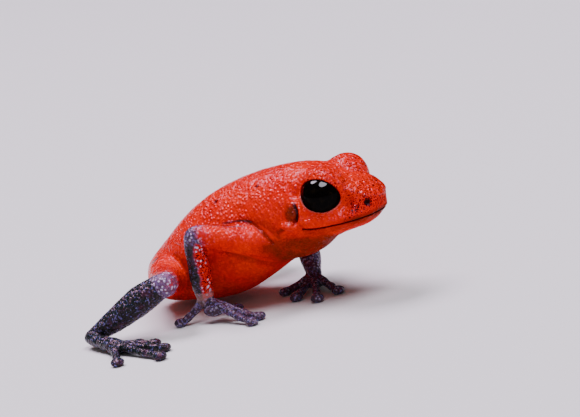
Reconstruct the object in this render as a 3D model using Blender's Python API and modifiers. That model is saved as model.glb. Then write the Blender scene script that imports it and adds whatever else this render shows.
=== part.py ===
"""Life-size still model of a strawberry poison dart frog, sitting with its chest raised.

The frog faces +X with its right side at -Y, and its fingers and toes rest on the plane z = 0.
Sizes and places are in millimetres and become metres where MM is applied.
The model is built in the stance frame, then moved so that its origin is the middle of its box, at the floor.
"""

import math

import bmesh
import bpy
import numpy as np
from mathutils import Matrix, Vector

MM = 0.001

# Driving dimensions: the body from snout to vent, and the gap between touching nodes
SNOUT_X = 13.28
VENT_X = -6.65
GAP = 0.25

# The trunk and head as upright sections: x, half width, underside, back, height of the greatest width
TRUNK_SECTIONS = (
    (-6.60, 1.75, 0.85, 3.50, 1.95),
    (-5.70, 2.15, 0.52, 4.00, 2.10),
    (-4.40, 2.65, 0.38, 4.85, 2.50),
    (-2.50, 3.25, 0.38, 6.35, 3.05),
    (-0.50, 3.60, 0.45, 7.60, 3.60),
    (1.50, 3.65, 0.85, 8.40, 4.20),
    (3.50, 3.42, 1.75, 8.95, 4.90),
    (5.50, 3.12, 2.75, 9.28, 5.50),
    (7.20, 3.05, 3.20, 9.42, 5.70),
    (8.60, 3.15, 3.90, 9.30, 5.80),
    (10.00, 2.98, 4.45, 8.88, 5.95),
    (11.20, 2.55, 4.75, 8.30, 6.15),
    (12.40, 2.10, 5.00, 7.85, 6.40),
    (13.50, 1.65, 5.30, 7.60, 6.80),
)
SNOUT_CAP = 1.80
RUMP_CAP = 2.25
SQUARENESS = 2.2
RING_POINTS = 40
RING_COUNT = 56

# Head features, on the right side; the left side mirrors them
EYE_CENTRE = (9.85, -1.78, 7.50)
EYE_RADIUS = 1.45
EYE_GAP = 0.15
EYE_AXIS = (0.23, -0.95, 0.18)
LID_THICKNESS = 0.20
LID_OPENING = (1.40, 1.08)
LID_OPENING_DEPTH = 0.36
THROAT_CENTRE = (6.60, 0.0, 4.40)
THROAT_RADII = (2.05, 2.35, 1.25)
NOSTRIL = (12.84, 6.65)
NOSTRIL_RADIUS = 0.19
EARDRUM = (7.85, 6.66)
EARDRUM_RADIUS = 0.56
EARDRUM_GROOVE = 0.12
LIP_STATIONS = (9.0, 9.8, 10.6, 11.4, 12.1, 12.6)
LIP_RADIUS = 0.30
LIP_PROUD = 0.08
LIP_ABOVE_MOUTH = 0.24

# Cuts that part the trunk, in side view: the neck, and the mouth with its slope down to the neck.
# TRUNK_NODES says about where the middle of each node then lies
NECK_TOP = (6.9, 9.6)
NECK_FOOT = (4.2, 1.6)
MOUTH_CORNER = (8.7, 5.58)
MOUTH_FRONT = (15.0, 5.85)
JAW_HINGE = (4.95, 4.02)
TRUNK_NODES = {"torso": (-1.0, 0.0, 4.0), "head": (9.5, 0.0, 7.6), "lower_jaw": (9.0, 0.0, 4.6)}

# Limb lines: x, y, z and radius, from the body outwards
RIGHT_ARM = (
    (5.40, -1.90, 4.60, 1.25),
    (4.60, -3.10, 4.95, 1.02),
    (3.00, -4.30, 5.60, 0.84),
    (1.55, -5.20, 6.15, 0.70),
    (1.20, -5.25, 5.60, 0.72),
    (1.10, -5.15, 4.40, 0.76),
    (0.92, -4.95, 2.90, 0.78),
    (0.78, -4.80, 1.70, 0.58),
)
LEFT_ARM = (
    (5.40, 1.90, 4.40, 1.25),
    (4.70, 3.10, 4.55, 1.02),
    (3.60, 4.40, 4.65, 0.84),
    (2.50, 5.35, 4.45, 0.70),
    (2.65, 5.30, 3.95, 0.72),
    (3.40, 4.55, 3.00, 0.78),
    (4.50, 3.20, 1.85, 0.74),
    (5.20, 2.20, 1.10, 0.52),
)
RIGHT_LEG = (
    (-4.30, -1.30, 2.60, 1.50),
    (-3.10, -3.20, 2.90, 1.34),
    (-1.80, -5.30, 3.05, 1.04),
    (-0.45, -7.15, 3.45, 0.86),
    (-0.95, -7.50, 3.30, 0.86),
    (-2.20, -8.15, 2.65, 1.00),
    (-4.00, -8.95, 1.60, 0.80),
    (-5.50, -9.55, 0.80, 0.52),
    (-5.50, -9.85, 0.72, 0.48),
    (-4.30, -10.55, 0.62, 0.46),
    (-2.80, -11.20, 0.56, 0.52),
)
LEFT_LEG = (
    (-4.70, 1.30, 2.60, 1.60),
    (-3.70, 3.20, 2.95, 1.45),
    (-2.30, 5.20, 3.20, 1.15),
    (-1.30, 7.00, 3.40, 0.86),
    (-1.70, 7.35, 3.25, 0.86),
    (-3.20, 7.70, 2.75, 1.00),
    (-5.10, 7.60, 1.75, 0.78),
    (-6.70, 7.30, 0.90, 0.52),
    (-6.75, 7.60, 0.78, 0.48),
    (-5.90, 8.70, 0.66, 0.46),
    (-5.00, 10.00, 0.56, 0.52),
)
ELBOW, WRIST = 3, 7
KNEE, ANKLE = 3, 7

# Sides of the thin square slabs that part a limb at its joints
ELBOW_SLAB = 5.6
WRIST_SLAB = 2.2
KNEE_SLAB = 7.0
ANKLE_SLAB = 4.4

# Digits: heading from +X in degrees, then length, from the innermost digit to the outermost
RIGHT_FINGERS = ((62.0, 2.2), (-3.0, 4.2), (-18.0, 4.6), (-150.0, 2.0))
LEFT_FINGERS = ((-128.0, 2.3), (-84.0, 3.3), (-58.0, 4.4), (-34.0, 3.6))
TOE_SPREADS = (58.0, 36.0, 14.0, -6.0, -38.0)
TOE_LENGTHS = (1.7, 2.8, 4.1, 5.3, 3.6)
RIGHT_FOOT_HEADING = -14.0
LEFT_FOOT_HEADING = 66.0
DIGIT_RADIUS = 0.29
DIGIT_TIP_HEIGHT = 0.27
DISC_RADII = (0.46, 0.46, 0.30)
# Along a digit: share of its length, share of its root's height that is left, and share of DIGIT_RADIUS
DIGIT_KNOTS = ((0.0, 1.0, 1.3), (0.35, 0.62, 1.1), (0.70, 0.22, 0.95), (1.0, 0.0, 0.95))
FINGER_ROOT_DROP = 0.25
MIDDLE_FINGER = 2
PALM_RADII = (0.85, 0.72, 0.42)
PALM_AHEAD = 0.75
SOLE_RADII = (0.80, 0.66, 0.40)
SOLE_AHEAD = 0.40
SOLE_HEIGHT = 0.42

# Resolution of the solids
VOXEL = 0.20
TRUNK_TRIANGLES = 2800
ARM_TRIANGLES = 1200
LEG_TRIANGLES = 1500
PATH_STEPS = 5
SHARP_ANGLE = 40.0

SKIN_RED = (0.72, 0.035, 0.012, 1.0)
LIMB_BLUE = (0.035, 0.045, 0.12, 1.0)
EYE_BLACK = (0.006, 0.006, 0.007, 1.0)


def point(values):
    """A place in millimetres as a vector in metres."""
    return Vector(values[:3]) * MM


def mirrored(values):
    """A place on the right side moved to the left side."""
    return (values[0], -values[1], values[2])


def side_of(place, side):
    """The place itself for the right side, and its mirror for the left."""
    return place if side == "right" else mirrored(place)


def ahead_of(place, heading, distance):
    """The x and y that lie a distance from a place, along a heading from +X in degrees."""
    turn = math.radians(heading)
    return (place[0] + distance * math.cos(turn), place[1] + distance * math.sin(turn))


def clear_scene():
    """Starts from an empty scene with one collection for the model and one for helpers."""
    for obj in list(bpy.data.objects):
        bpy.data.objects.remove(obj)
    model = bpy.data.collections.new("strawberry_frog")
    helpers = bpy.data.collections.new("helpers")
    bpy.context.scene.collection.children.link(model)
    bpy.context.scene.collection.children.link(helpers)
    return model, helpers


def finish(name, colour, roughness):
    """A plain Principled BSDF material."""
    material = bpy.data.materials.new(name)
    material.use_nodes = True
    shader = material.node_tree.nodes["Principled BSDF"]
    shader.inputs["Base Color"].default_value = colour
    shader.inputs["Roughness"].default_value = roughness
    shader.inputs["Metallic"].default_value = 0.0
    return material


def object_from(build, name, collection):
    """A new object whose mesh is filled by the function build, which gets a bmesh."""
    mesh = bpy.data.meshes.new(name)
    shape = bmesh.new()
    build(shape)
    bmesh.ops.recalc_face_normals(shape, faces=shape.faces)
    shape.to_mesh(mesh)
    shape.free()
    obj = bpy.data.objects.new(name, mesh)
    collection.objects.link(obj)
    return obj


def applied(obj):
    """Turns the object's modifiers into its own mesh, in world space."""
    graph = bpy.context.evaluated_depsgraph_get()
    graph.update()
    mesh = bpy.data.meshes.new_from_object(obj.evaluated_get(graph))
    mesh.transform(obj.matrix_world)
    obj.modifiers.clear()
    obj.data = mesh
    obj.matrix_world = Matrix.Identity(4)
    return obj


def ellipsoid(name, centre, radii, collection, heading=0.0, segments=32):
    """A closed ellipsoid, turned about Z by the heading in degrees."""
    turn = Matrix.Rotation(math.radians(heading), 4, "Z")
    place = Matrix.Translation(point(centre)) @ turn @ Matrix.Diagonal((*(r * MM for r in radii), 1.0))

    def build(shape):
        rings = segments // 2
        bmesh.ops.create_uvsphere(shape, u_segments=segments, v_segments=rings, radius=1.0, matrix=place)

    return object_from(build, name, collection)


def block(name, size, place, collection):
    """A closed box of that size in metres, placed by a matrix."""

    def build(shape):
        bmesh.ops.create_cube(shape, size=1.0, matrix=place @ Matrix.Diagonal((*size, 1.0)))

    return object_from(build, name, collection)


def hermite(xs, ys, x):
    """Smooth values through the points (xs, ys), read at x."""
    slopes = np.gradient(ys, xs)
    i = np.clip(np.searchsorted(xs, x) - 1, 0, len(xs) - 2)
    width = xs[i + 1] - xs[i]
    t = np.clip((x - xs[i]) / width, 0.0, 1.0)
    rise = t * t * (3 - 2 * t)
    lead = t * (1 - t) ** 2
    trail = t * t * (t - 1)
    return ys[i] * (1 - rise) + ys[i + 1] * rise + width * (slopes[i] * lead + slopes[i + 1] * trail)


def trunk_section(x):
    """Half width, underside, back and widest height of the trunk at x, with both ends rounded off."""
    table = np.array(TRUNK_SECTIONS)
    width, under, back, level = (hermite(table[:, 0], table[:, k], x) for k in (1, 2, 3, 4))
    along = max((x - SNOUT_X + SNOUT_CAP) / SNOUT_CAP, (VENT_X + RUMP_CAP - x) / RUMP_CAP, 0.0)
    size = math.sqrt(max(0.0, 1.0 - along * along))
    return width * size, level - (level - under) * size, level + (back - level) * size, level


def trunk_ring(x, grow):
    """The points of one upright section, a superellipse that is taller above its widest level."""
    width, under, back, level = trunk_section(x)
    ring = []
    for k in range(RING_POINTS):
        turn = 2 * math.pi * k / RING_POINTS
        c, s = math.cos(turn), math.sin(turn)
        across = math.copysign(abs(c) ** (2 / SQUARENESS), c)
        up = math.copysign(abs(s) ** (2 / SQUARENESS), s)
        height = (back - level if s > 0 else level - under) + grow
        ring.append((x, across * (width + grow), level + up * height))
    return ring


def half_width_at(x, z):
    """How far out the trunk's side is at that place of the side view."""
    width, under, back, level = trunk_section(x)
    share = min(1.0, abs(z - level) / (back - level if z > level else level - under))
    return width * (1.0 - share**SQUARENESS) ** (1 / SQUARENESS)


def snout_front(z):
    """How far forward the snout reaches at a height."""
    _, _, under, _, level = TRUNK_SECTIONS[-1]
    share = min(1.0, abs(z - level) / (level - under))
    return SNOUT_X - SNOUT_CAP * (1.0 - math.sqrt(1.0 - share * share))


def trunk_loft(name, grow, collection):
    """The trunk and head as a loft through its sections, grown outwards by that many millimetres."""
    half = (SNOUT_X - VENT_X) / 2
    middle = (SNOUT_X + VENT_X) / 2
    stations = [middle - half * math.cos(math.pi * (k + 0.5) / RING_COUNT) for k in range(RING_COUNT)]

    def build(shape):
        rings = [[shape.verts.new(point(p)) for p in trunk_ring(x, grow)] for x in stations]
        for near, far in zip(rings, rings[1:]):
            for k in range(RING_POINTS):
                n = (k + 1) % RING_POINTS
                shape.faces.new((near[k], near[n], far[n], far[k]))
        for ring in (rings[0], rings[-1]):
            shape.faces.new(ring)

    return object_from(build, name, collection)


def smooth_line(knots):
    """Points and radii along a Catmull-Rom curve through the knots."""
    rows = np.array(knots)
    ends = np.vstack([2 * rows[0] - rows[1], rows, 2 * rows[-1] - rows[-2]])
    line = []
    for a, b, c, d in zip(ends, ends[1:], ends[2:], ends[3:]):
        bend = 2 * a - 5 * b + 4 * c - d
        twist = 3 * b - a - 3 * c + d
        for k in range(PATH_STEPS):
            t = k / PATH_STEPS
            line.append(b + 0.5 * ((c - a) * t + bend * t**2 + twist * t**3))
    line.append(rows[-1])
    return line


def tube(name, knots, collection):
    """A limb or digit as a closed mesh: a bevelled curve with the radii of its knots and with round ends."""
    curve = bpy.data.curves.new(name, "CURVE")
    curve.dimensions = "3D"
    curve.bevel_depth = MM
    curve.bevel_resolution = 4
    curve.use_fill_caps = True
    line = smooth_line(knots)
    spline = curve.splines.new("POLY")
    spline.points.add(len(line) - 1)
    for target, row in zip(spline.points, line):
        target.co = (*point(row), 1.0)
        target.radius = row[3]
    source = bpy.data.objects.new(name, curve)
    collection.objects.link(source)
    graph = bpy.context.evaluated_depsgraph_get()
    graph.update()
    mesh = bpy.data.meshes.new_from_object(source.evaluated_get(graph))
    bpy.data.objects.remove(source)
    shape = bmesh.new()
    shape.from_mesh(mesh)
    bmesh.ops.remove_doubles(shape, verts=shape.verts, dist=0.001 * MM)
    for row in (line[0], line[-1]):
        place = Matrix.Translation(point(row)) @ Matrix.Scale(row[3] * MM, 4)
        bmesh.ops.create_uvsphere(shape, u_segments=16, v_segments=8, radius=1.0, matrix=place)
    shape.to_mesh(mesh)
    shape.free()
    obj = bpy.data.objects.new(name, mesh)
    collection.objects.link(obj)
    return obj


def digit_line(root, heading, length):
    """Knots of a finger or toe that leaves its root, arches over its knuckle and comes down to the floor."""
    knots = []
    for share, height, radius in DIGIT_KNOTS:
        x, y = ahead_of(root, heading, length * share)
        z = DIGIT_TIP_HEIGHT + (root[2] - DIGIT_TIP_HEIGHT) * height
        knots.append((x, y, z, DIGIT_RADIUS * radius))
    return knots


def digits(name, root, headings_and_lengths, collection):
    """Tubes with a disc at each tip, all from one root."""
    pieces = []
    for number, (heading, length) in enumerate(headings_and_lengths, 1):
        knots = digit_line(root, heading, length)
        pieces.append(tube(f"{name}_digit_{number}", knots, collection))
        tip = knots[-1][:3]
        pieces.append(ellipsoid(f"{name}_disc_{number}", tip, DISC_RADII, collection, heading, 16))
    return pieces


def fused(name, pieces, triangles, smoothing, collection):
    """One closed skin over overlapping closed pieces, smoothed and brought down to that many triangles."""
    shape = bmesh.new()
    for piece in pieces:
        shape.from_mesh(piece.data)
        bpy.data.objects.remove(piece)
    mesh = bpy.data.meshes.new(name)
    shape.to_mesh(mesh)
    shape.free()
    obj = bpy.data.objects.new(name, mesh)
    collection.objects.link(obj)
    remesh = obj.modifiers.new("remesh", "REMESH")
    remesh.mode = "VOXEL"
    remesh.voxel_size = VOXEL * MM
    smooth = obj.modifiers.new("smooth", "SMOOTH")
    smooth.factor = 0.5
    smooth.iterations = smoothing
    applied(obj)
    faces = sum(len(face.vertices) - 2 for face in obj.data.polygons)
    thin = obj.modifiers.new("thin", "DECIMATE")
    thin.ratio = min(1.0, triangles / faces)
    thin.use_collapse_triangulate = True
    return applied(obj)


def cut(obj, cutters):
    """Takes the cutters away from the object, one after the other."""
    for cutter in cutters:
        cutter.hide_render = True
        cutter.display_type = "WIRE"
        boolean = obj.modifiers.new(cutter.name, "BOOLEAN")
        boolean.operation = "DIFFERENCE"
        boolean.object = cutter
    return applied(obj)


def shells(obj):
    """The closed surfaces of an object as separate bmeshes, largest box first."""
    shape = bmesh.new()
    shape.from_mesh(obj.data)
    groups, seen = [], set()
    for vertex in shape.verts:
        if vertex in seen:
            continue
        group, queue = [], [vertex]
        seen.add(vertex)
        while queue:
            here = queue.pop()
            group.append(here)
            for edge in here.link_edges:
                there = edge.other_vert(here)
                if there not in seen:
                    seen.add(there)
                    queue.append(there)
        groups.append([v.index for v in group])
    shape.free()
    return sorted(groups, key=len, reverse=True)


def part_into(obj, names, near, material, collection):
    """Parts a cut object into nodes: each name takes the shell whose middle is nearest to its place."""
    groups = shells(obj)[: len(names)]
    middles = [sum((obj.data.vertices[i].co for i in group), Vector()) / len(group) for group in groups]
    made = []
    for name, place in zip(names, near):
        target = point(place)
        best = min(range(len(groups)), key=lambda k: (middles[k] - target).length)
        keep = set(groups[best])
        shape = bmesh.new()
        shape.from_mesh(obj.data)
        bmesh.ops.delete(shape, geom=[v for v in shape.verts if v.index not in keep], context="VERTS")
        mesh = bpy.data.meshes.new(name)
        shape.to_mesh(mesh)
        shape.free()
        mesh.materials.clear()
        mesh.materials.append(material[name] if isinstance(material, dict) else material)
        mesh.shade_smooth()
        mesh.set_sharp_from_angle(angle=math.radians(SHARP_ANGLE))
        node = bpy.data.objects.new(name, mesh)
        collection.objects.link(node)
        made.append(node)
    bpy.data.objects.remove(obj)
    return made


def joint_slab(name, before, at, after, size, collection):
    """A thin square slab at a joint, on the plane that halves the angle between its two stretches."""
    here = point(at)
    first = (point(before) - here).normalized()
    second = (point(after) - here).normalized()
    normal = (first - second).normalized()
    place = Matrix.Translation(here) @ normal.to_track_quat("Z", "Y").to_matrix().to_4x4()
    return block(name, (size * MM, size * MM, GAP * MM), place, collection)


def sheet_between(name, start, end, collection, width=12.0):
    """A thin slab across the body whose side view runs from start to end, given as x and z."""
    a, b = Vector((start[0], 0.0, start[1])) * MM, Vector((end[0], 0.0, end[1])) * MM
    along = b - a
    angle = math.atan2(-along.z, along.x)
    place = Matrix.Translation((a + b) / 2) @ Matrix.Rotation(angle, 4, "Y")
    return block(name, (along.length + GAP * MM, width * MM, GAP * MM), place, collection)


def floor_block(collection):
    """What lies below the floor, so that fingers and toes end in flats at one level."""
    size = 60.0
    place = Matrix.Translation((0.0, 0.0, -size / 2 * MM))
    return block("below_floor", (size * MM,) * 3, place, collection)


def mouth_height(x):
    """The height of the line of the mouth at x."""
    slope = (MOUTH_FRONT[1] - MOUTH_CORNER[1]) / (MOUTH_FRONT[0] - MOUTH_CORNER[0])
    return MOUTH_CORNER[1] + slope * (x - MOUTH_CORNER[0])


def upper_lip(collection):
    """A low ridge round the edge of the upper jaw, from one corner of the mouth to the other."""
    knots = []
    for x in LIP_STATIONS:
        z = mouth_height(x) + LIP_ABOVE_MOUTH
        knots.append((x, LIP_RADIUS - LIP_PROUD - half_width_at(x, z), z, LIP_RADIUS))
    z = mouth_height(SNOUT_X) + LIP_ABOVE_MOUTH
    front = (snout_front(z) + LIP_PROUD - LIP_RADIUS, 0.0, z, LIP_RADIUS)
    far_side = [(x, -y, z, r) for x, y, z, r in reversed(knots)]
    return tube("upper_lip", (*knots, front, *far_side), collection)


def lid_opening(side, collection):
    """A cutter of the lids' outline, from inside the eyeball outwards along the eye's axis."""
    axis = Vector(side_of(EYE_AXIS, side)).normalized()
    reach = 2.0 * EYE_RADIUS
    middle = Vector(side_of(EYE_CENTRE, side)) * MM + axis * (LID_OPENING_DEPTH + reach / 2) * MM
    turn = axis.to_track_quat("Z", "Y").to_matrix().to_4x4()
    stretch = Matrix.Diagonal((LID_OPENING[0] * MM, LID_OPENING[1] * MM, reach * MM, 1.0))

    def build(shape):
        bmesh.ops.create_cone(
            shape,
            cap_ends=True,
            segments=32,
            radius1=1.0,
            radius2=1.0,
            depth=1.0,
            matrix=Matrix.Translation(middle) @ turn @ stretch,
        )

    return object_from(build, "lid_opening_" + side, collection)


def build_trunk(skin, model, helpers):
    """The torso, head and lower jaw, with lids, nostrils, eardrums and the line of the mouth."""
    socket = EYE_RADIUS + EYE_GAP
    lid = socket + LID_THICKNESS
    pieces = [
        trunk_loft("trunk", 0.0, helpers),
        ellipsoid("throat", THROAT_CENTRE, THROAT_RADII, helpers),
        upper_lip(helpers),
    ]
    for side in ("right", "left"):
        pieces.append(ellipsoid("lids_" + side, side_of(EYE_CENTRE, side), (lid,) * 3, helpers))
    whole = fused("trunk_whole", pieces, TRUNK_TRIANGLES, 4, helpers)
    cutters = [
        sheet_between("neck_cut", NECK_FOOT, NECK_TOP, helpers),
        sheet_between("mouth_cut", MOUTH_CORNER, MOUTH_FRONT, helpers),
        sheet_between("jaw_cut", JAW_HINGE, MOUTH_CORNER, helpers),
    ]
    for side in ("right", "left"):
        eye = side_of(EYE_CENTRE, side)
        nostril = side_of((NOSTRIL[0], -half_width_at(*NOSTRIL), NOSTRIL[1]), side)
        cutters.append(ellipsoid("socket_" + side, eye, (socket,) * 3, helpers, segments=20))
        cutters.append(lid_opening(side, helpers))
        cutters.append(ellipsoid("nostril_" + side, nostril, (NOSTRIL_RADIUS,) * 3, helpers, segments=12))
        cutters.append(eardrum_ring(side, helpers))
    cut(whole, cutters)
    return part_into(whole, TRUNK_NODES, TRUNK_NODES.values(), skin, model)


def eardrum_ring(side, collection):
    """A ring that cuts the shallow groove round an eardrum."""
    centre = (EARDRUM[0], -half_width_at(*EARDRUM), EARDRUM[1])
    place = Matrix.Translation(point(side_of(centre, side))) @ Matrix.Rotation(math.radians(90), 4, "X")
    steps, around = 20, 6

    def build(shape):
        rings = []
        for k in range(steps):
            turn = Matrix.Rotation(2 * math.pi * k / steps, 4, "Z")
            ring = []
            for j in range(around):
                angle = 2 * math.pi * j / around
                out = EARDRUM_RADIUS + EARDRUM_GROOVE * math.cos(angle)
                spot = Vector((out, 0.0, EARDRUM_GROOVE * math.sin(angle)))
                ring.append(shape.verts.new(place @ turn @ (spot * MM)))
            rings.append(ring)
        for k, near in enumerate(rings):
            far = rings[(k + 1) % steps]
            for j in range(around):
                n = (j + 1) % around
                shape.faces.new((near[j], near[n], far[n], far[j]))

    return object_from(build, "eardrum_" + side, collection)


def build_eyes(material, model):
    """The two eyeballs."""
    for side in ("right", "left"):
        eye = ellipsoid("eye_" + side, side_of(EYE_CENTRE, side), (EYE_RADIUS,) * 3, model, segments=20)
        eye.data.materials.append(material)
        eye.data.shade_smooth()


def build_arm(side, knots, fingers, body, floor, materials, model, helpers):
    """Upper arm, forearm and hand."""
    wrist = knots[WRIST]
    heading = fingers[MIDDLE_FINGER][0]
    palm = (*ahead_of(wrist, heading, PALM_AHEAD), wrist[2] / 2)
    pieces = [tube("arm_" + side, knots, helpers)]
    pieces += digits("hand_" + side, (*wrist[:2], wrist[2] - FINGER_ROOT_DROP), fingers, helpers)
    pieces.append(ellipsoid("palm_" + side, palm, PALM_RADII, helpers, heading))
    whole = fused("arm_whole_" + side, pieces, ARM_TRIANGLES, 2, helpers)
    cutters = [
        body,
        floor,
        joint_slab("elbow_" + side, knots[ELBOW - 1], knots[ELBOW], knots[ELBOW + 2], ELBOW_SLAB, helpers),
        joint_slab("wrist_" + side, knots[WRIST - 1], knots[WRIST], palm, WRIST_SLAB, helpers),
    ]
    cut(whole, cutters)
    names = ("upper_arm_" + side, "forearm_" + side, "hand_" + side)
    near = (knots[ELBOW - 1], knots[ELBOW + 2], palm)
    return part_into(whole, names, near, materials, model)


def build_leg(side, knots, heading, body, floor, materials, model, helpers):
    """Thigh, shank and foot."""
    root = knots[-1]
    turn = 1 if side == "right" else -1
    toes = [(heading + turn * spread, length) for spread, length in zip(TOE_SPREADS, TOE_LENGTHS)]
    sole = (*ahead_of(root, heading, SOLE_AHEAD), SOLE_HEIGHT)
    pieces = [tube("leg_" + side, knots, helpers)]
    pieces += digits("foot_" + side, root[:3], toes, helpers)
    pieces.append(ellipsoid("sole_" + side, sole, SOLE_RADII, helpers, heading))
    whole = fused("leg_whole_" + side, pieces, LEG_TRIANGLES, 2, helpers)
    cutters = [
        body,
        floor,
        joint_slab("knee_" + side, knots[KNEE - 1], knots[KNEE], knots[KNEE + 2], KNEE_SLAB, helpers),
        joint_slab("ankle_" + side, knots[ANKLE - 1], knots[ANKLE], knots[ANKLE + 2], ANKLE_SLAB, helpers),
    ]
    cut(whole, cutters)
    names = ("thigh_" + side, "shank_" + side, "foot_" + side)
    near = (knots[KNEE - 2], knots[KNEE + 2], sole)
    return part_into(whole, names, near, materials, model)


def centre_on_floor(collection):
    """Moves the nodes together so that the middle of their box is over the origin."""
    corners = np.array([vertex.co for node in collection.objects for vertex in node.data.vertices])
    middle = (corners.min(axis=0) + corners.max(axis=0)) / 2
    for node in collection.objects:
        node.data.transform(Matrix.Translation((-middle[0], -middle[1], 0.0)))


def main():
    model, helpers = clear_scene()
    red = finish("frog_red_skin", SKIN_RED, 0.35)
    blue = finish("frog_blue_skin", LIMB_BLUE, 0.35)
    black = finish("frog_eye", EYE_BLACK, 0.05)
    build_trunk(red, model, helpers)
    build_eyes(black, model)
    body = trunk_loft("trunk_grown", GAP, helpers)
    floor = floor_block(helpers)
    for side, knots, fingers in (("right", RIGHT_ARM, RIGHT_FINGERS), ("left", LEFT_ARM, LEFT_FINGERS)):
        materials = {"upper_arm_" + side: red, "forearm_" + side: blue, "hand_" + side: blue}
        build_arm(side, knots, fingers, body, floor, materials, model, helpers)
    for side, knots, heading in (
        ("right", RIGHT_LEG, RIGHT_FOOT_HEADING),
        ("left", LEFT_LEG, LEFT_FOOT_HEADING),
    ):
        materials = {"thigh_" + side: red, "shank_" + side: blue, "foot_" + side: blue}
        build_leg(side, knots, heading, body, floor, materials, model, helpers)
    centre_on_floor(model)
    for helper in helpers.objects:
        helper.hide_render = True


main()
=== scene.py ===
import math

import bpy
import numpy as np
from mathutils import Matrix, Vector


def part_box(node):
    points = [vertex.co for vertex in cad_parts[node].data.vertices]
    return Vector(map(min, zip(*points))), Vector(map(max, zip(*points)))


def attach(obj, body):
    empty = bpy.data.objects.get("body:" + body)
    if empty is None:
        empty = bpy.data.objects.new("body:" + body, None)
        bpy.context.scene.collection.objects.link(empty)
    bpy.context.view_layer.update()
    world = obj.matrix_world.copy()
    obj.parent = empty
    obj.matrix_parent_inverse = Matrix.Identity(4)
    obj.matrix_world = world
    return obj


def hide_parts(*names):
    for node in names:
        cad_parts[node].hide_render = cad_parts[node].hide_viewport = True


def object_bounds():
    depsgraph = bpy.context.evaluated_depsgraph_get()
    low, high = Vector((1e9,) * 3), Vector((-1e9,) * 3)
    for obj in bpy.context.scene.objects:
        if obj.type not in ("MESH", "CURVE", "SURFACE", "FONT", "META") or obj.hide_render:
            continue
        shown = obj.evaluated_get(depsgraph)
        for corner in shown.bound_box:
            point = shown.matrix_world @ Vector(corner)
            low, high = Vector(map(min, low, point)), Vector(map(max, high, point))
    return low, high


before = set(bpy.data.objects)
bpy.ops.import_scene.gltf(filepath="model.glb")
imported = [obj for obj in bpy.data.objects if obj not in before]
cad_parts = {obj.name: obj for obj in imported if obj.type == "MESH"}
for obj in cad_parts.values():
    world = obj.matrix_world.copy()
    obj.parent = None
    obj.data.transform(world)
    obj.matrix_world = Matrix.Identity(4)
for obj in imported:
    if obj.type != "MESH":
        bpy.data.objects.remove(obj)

import openvdb
from bpy.props import FloatProperty, FloatVectorProperty, IntProperty, PointerProperty
from mathutils import Matrix, Vector

bl_info = {
    "name": "Strawberry Frog",
    "version": (1, 0, 0),
    "blender": (4, 5, 0),
    "location": "View3D > Sidebar > Frog",
    "description": "The skin, eyes and studio of a life-size strawberry poison dart frog",
    "category": "Add Mesh",
}

# Sizes are in millimetres in the stance frame, whose origin lies under the body; MM makes them metres
MM = 0.001
CAD_LOW, CAD_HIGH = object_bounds()

# Trunk and head as upright sections: x, half width, underside, back, height of the greatest width
TRUNK_SECTIONS = np.array((
    (-6.60, 1.75, 0.85, 3.50, 1.95),
    (-5.70, 2.15, 0.52, 4.00, 2.10),
    (-4.40, 2.65, 0.38, 4.85, 2.50),
    (-2.50, 3.25, 0.38, 6.35, 3.05),
    (-0.50, 3.60, 0.45, 7.60, 3.60),
    (1.50, 3.65, 0.85, 8.40, 4.20),
    (3.50, 3.42, 1.75, 8.95, 4.90),
    (5.50, 3.12, 2.75, 9.28, 5.50),
    (7.20, 3.05, 3.20, 9.42, 5.70),
    (8.60, 3.15, 3.90, 9.30, 5.80),
    (10.00, 2.98, 4.45, 8.88, 5.95),
    (11.20, 2.55, 4.75, 8.30, 6.15),
    (12.40, 2.10, 5.00, 7.85, 6.40),
    (13.50, 1.65, 5.30, 7.60, 6.80),
))
SNOUT_X, SNOUT_CAP = 13.28, 1.80
VENT_X, RUMP_CAP = -6.65, 2.25
SQUARENESS = 2.2
THROAT_CENTRE, THROAT_RADII = (6.60, 0.0, 4.40), (2.05, 2.35, 1.25)

# Head features on the right side; the left side mirrors them
EYE_CENTRE = (9.85, -1.78, 7.50)
EYE_RADIUS = 1.45
EYE_AXIS = (0.23, -0.95, 0.18)
EYE_TILT = -15.0
# The lids: half length and half height of the opening, then how far they stand out from the eye
LID_OPENING = (1.40, 1.08)
LID_RISE, LID_EDGE, BROW = 0.33, 0.05, 0.12
# Where the brow thickens, in height, and where the lids' swelling rises, in the opening's ellipse
BROW_SPAN, LID_SPAN = (-0.2, 0.9), (0.95, 1.75)
# The hollow round the lids starts past the opening's edge and falls away in a curve
HOLLOW_START, HOLLOW_GAP, HOLLOW_SLOPE, HOLLOW_CURVE = 1.05, 0.03, 0.85, 0.9
# How far out of the eye's centre hollow and opening start, and how far round it each form is worked out
HOLLOW_FLOOR, OPENING_FLOOR = 0.2, 0.35
SWELLING_REACH, HOLLOW_REACH, OPENING_REACH = 2.9, 3.0, 2.6
NOSTRIL, NOSTRIL_RADIUS, NOSTRIL_REACH = (12.84, 6.65), 0.21, 0.5
# The eardrum's rim is a groove, deeper at its front
EARDRUM, EARDRUM_RADIUS, EARDRUM_FLATNESS, EARDRUM_REACH = (7.85, 6.66), 0.50, 0.80, 1.0
EARDRUM_FRONT, EARDRUM_GROOVE, EARDRUM_DEEPER = (-0.2, 0.9), 0.02, 0.10
GLAND, GLAND_RADII, GLAND_PROUD = (7.62, 5.80), (0.72, 0.38, 0.28), 0.02
MOUTH_CORNER, MOUTH_FRONT = (8.7, 5.58), (15.0, 5.85)
MOUTH_SAG, MOUTH_SAG_LEAN = 0.10, 0.7
MOUTH_HALF_WIDTH, MOUTH_DEPTH, MOUTH_PAST_CORNER = 0.035, 0.15, 0.1
MOUTH_MIDDLE, MOUTH_REACH = (10.94, 0.0, 5.7), (2.74, 4.0, 0.7)
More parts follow.
